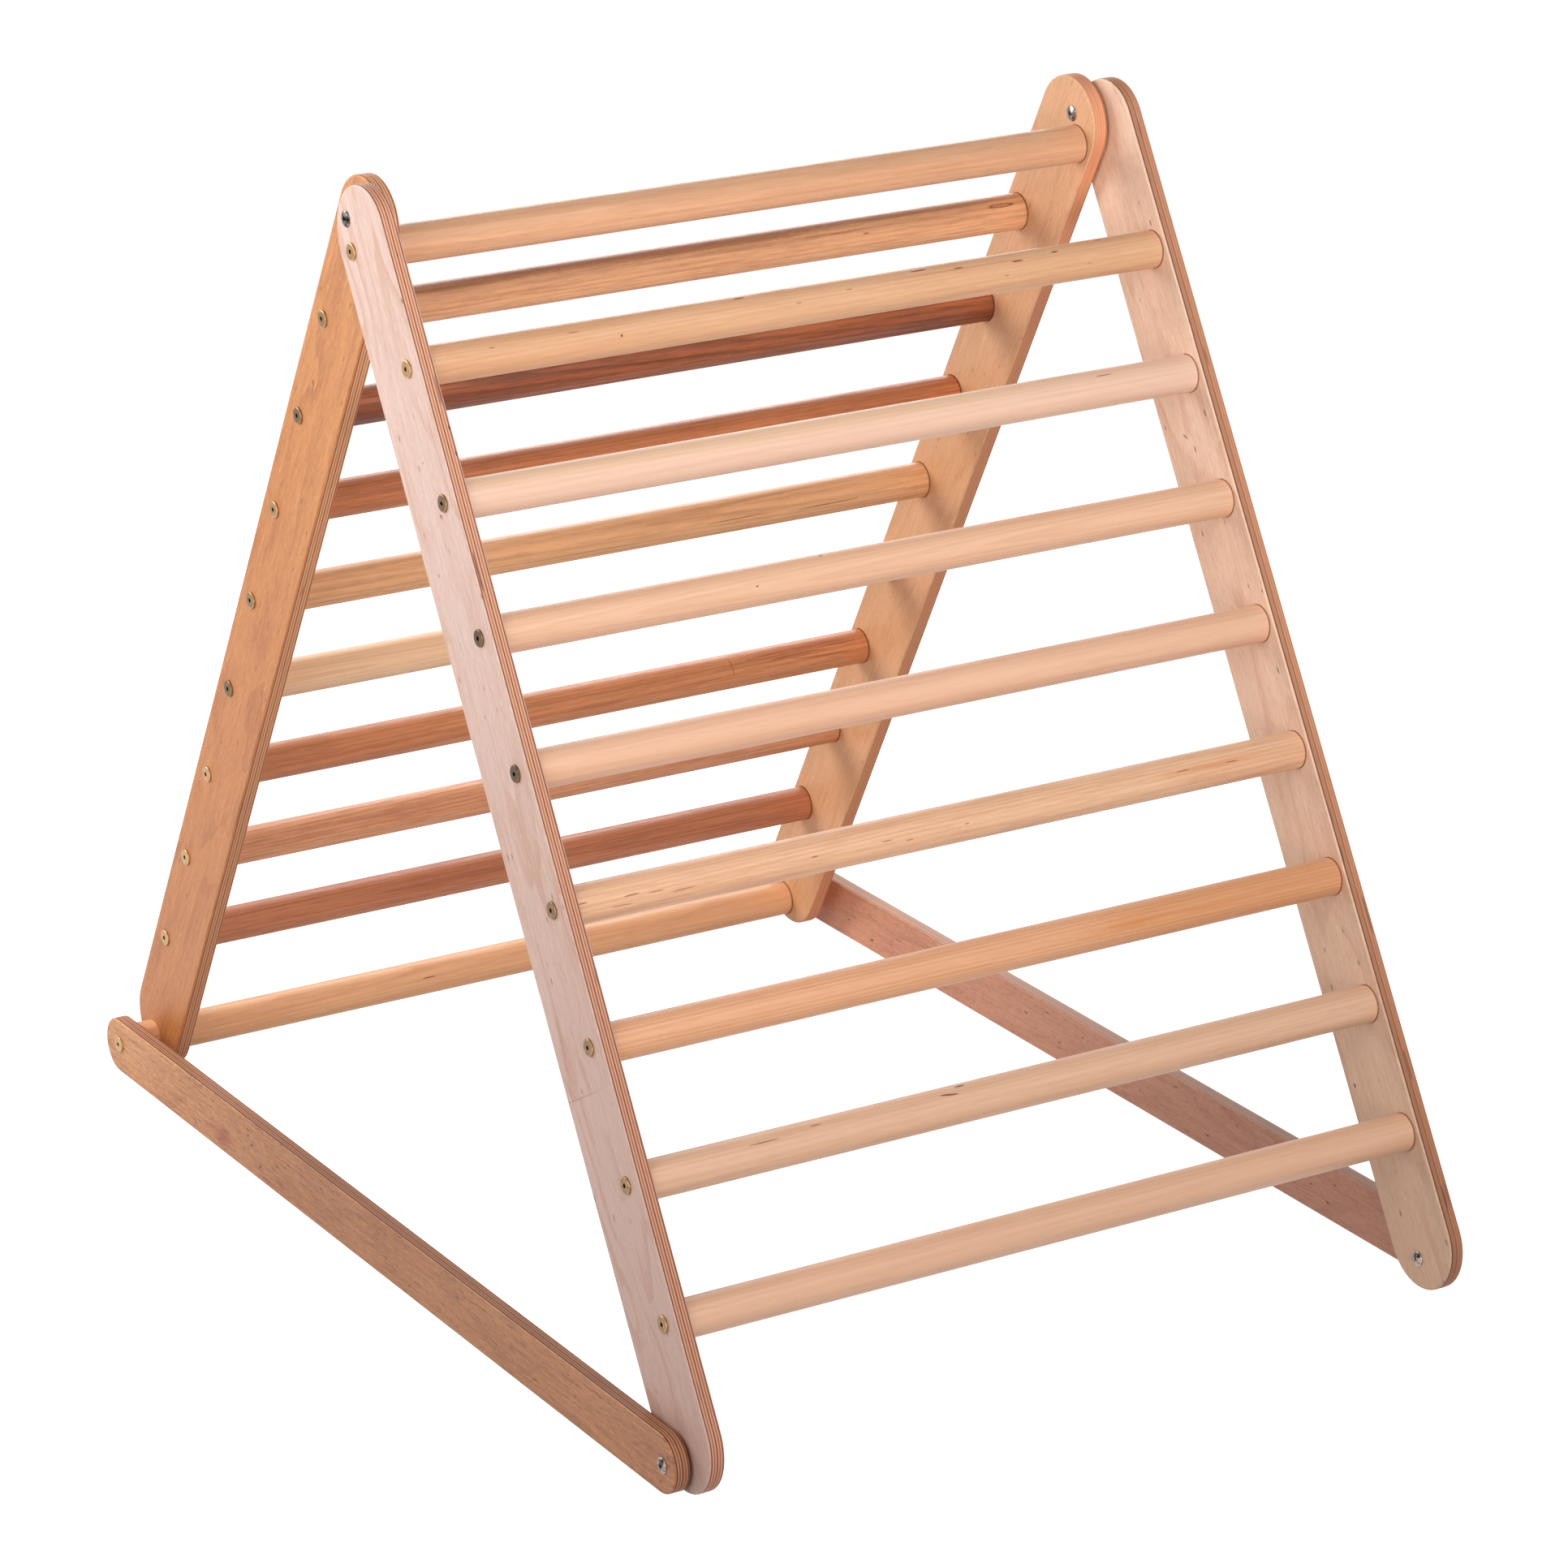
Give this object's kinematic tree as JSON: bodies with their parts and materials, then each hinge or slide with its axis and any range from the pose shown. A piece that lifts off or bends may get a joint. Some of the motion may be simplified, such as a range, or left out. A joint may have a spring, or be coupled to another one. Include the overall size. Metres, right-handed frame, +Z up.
{
  "type": "folding climbing triangle",
  "caption": "Wooden folding climbing triangle: two plywood-railed ladders hinged on a shared top rung, held apart by a swing-up floor frame.",
  "frame": {"origin": "middle of the footprint, on the floor", "axes": "+X along the rungs to the right, +Y from the front ladder's feet to the rear ladder's feet, +Z up"},
  "size_m": [0.8272, 1.1614, 1.0134],
  "materials": {
    "front_rail_left_ply": "oiled birch plywood",
    "front_rail_right_ply": "oiled birch plywood",
    "rear_rail_left_ply": "stained birch plywood",
    "rear_rail_right_ply": "stained birch plywood",
    "floor_bar_left_ply": "stained birch plywood",
    "floor_bar_right_ply": "stained birch plywood",
    "top_rung_wood": "oiled hardwood dowel",
    "bottom_rung_wood": "oiled hardwood dowel",
    "front_rung_1_wood": "oiled hardwood dowel",
    "front_rung_2_wood": "oiled hardwood dowel",
    "front_rung_3_wood": "oiled hardwood dowel",
    "front_rung_4_wood": "oiled hardwood dowel",
    "front_rung_5_wood": "oiled hardwood dowel",
    "front_rung_6_wood": "oiled hardwood dowel",
    "front_rung_7_wood": "oiled hardwood dowel",
    "front_rung_8_wood": "oiled hardwood dowel",
    "rear_rung_1_wood": "stained hardwood dowel",
    "rear_rung_2_wood": "stained hardwood dowel",
    "rear_rung_3_wood": "stained hardwood dowel",
    "rear_rung_4_wood": "stained hardwood dowel",
    "rear_rung_5_wood": "stained hardwood dowel",
    "rear_rung_6_wood": "stained hardwood dowel",
    "rear_rung_7_wood": "stained hardwood dowel",
    "rear_rung_8_wood": "stained hardwood dowel",
    "connector_brass": "antique, satin",
    "insert_zinc": "zinc plated",
    "lock_steel": "bright"
  },
  "bodies": {
    "rear_ladder": {"rear_rail_left": "rear_rail_left_ply", "rear_rail_right": "rear_rail_right_ply", "rear_rung_1": "rear_rung_1_wood", "rear_rung_2": "rear_rung_2_wood", "rear_rung_3": "rear_rung_3_wood", "rear_rung_4": "rear_rung_4_wood", "rear_rung_5": "rear_rung_5_wood", "rear_rung_6": "rear_rung_6_wood", "rear_rung_7": "rear_rung_7_wood", "rear_rung_8": "rear_rung_8_wood", "rear_rung_bolts_left": "connector_brass", "rear_rung_bolts_right": "connector_brass", "rear_rung_inserts": "insert_zinc", "apex_lock_sleeves": "lock_steel"},
    "front_ladder": {"front_rail_left": "front_rail_left_ply", "front_rail_right": "front_rail_right_ply", "top_rung": "top_rung_wood", "front_rung_1": "front_rung_1_wood", "front_rung_2": "front_rung_2_wood", "front_rung_3": "front_rung_3_wood", "front_rung_4": "front_rung_4_wood", "front_rung_5": "front_rung_5_wood", "front_rung_6": "front_rung_6_wood", "front_rung_7": "front_rung_7_wood", "front_rung_8": "front_rung_8_wood", "front_rung_bolts_left": "connector_brass", "front_rung_bolts_right": "connector_brass", "top_rung_bolts": "connector_brass", "front_rung_inserts": "insert_zinc", "top_rung_inserts": "insert_zinc", "apex_lock_screws": "lock_steel", "floor_lock_sleeves": "lock_steel"},
    "floor_frame": {"floor_bar_left": "floor_bar_left_ply", "floor_bar_right": "floor_bar_right_ply", "bottom_rung": "bottom_rung_wood", "bottom_rung_bolts": "connector_brass", "bottom_rung_inserts": "insert_zinc", "floor_lock_screws": "lock_steel"}
  },
  "joints": [
    {"name": "fold", "type": "hinge", "parent": "rear_ladder", "child": "front_ladder", "pos_m": [0, 0.01199, 0.952], "axis": [1, 0, 0], "range_deg": [0, 57.8]},
    {"name": "floor_frame_swing", "type": "hinge", "parent": "rear_ladder", "child": "floor_frame", "pos_m": [0, 0.54851, 0.0305], "axis": [-1, 0, 0], "range_deg": [0, 61]}
  ]
}
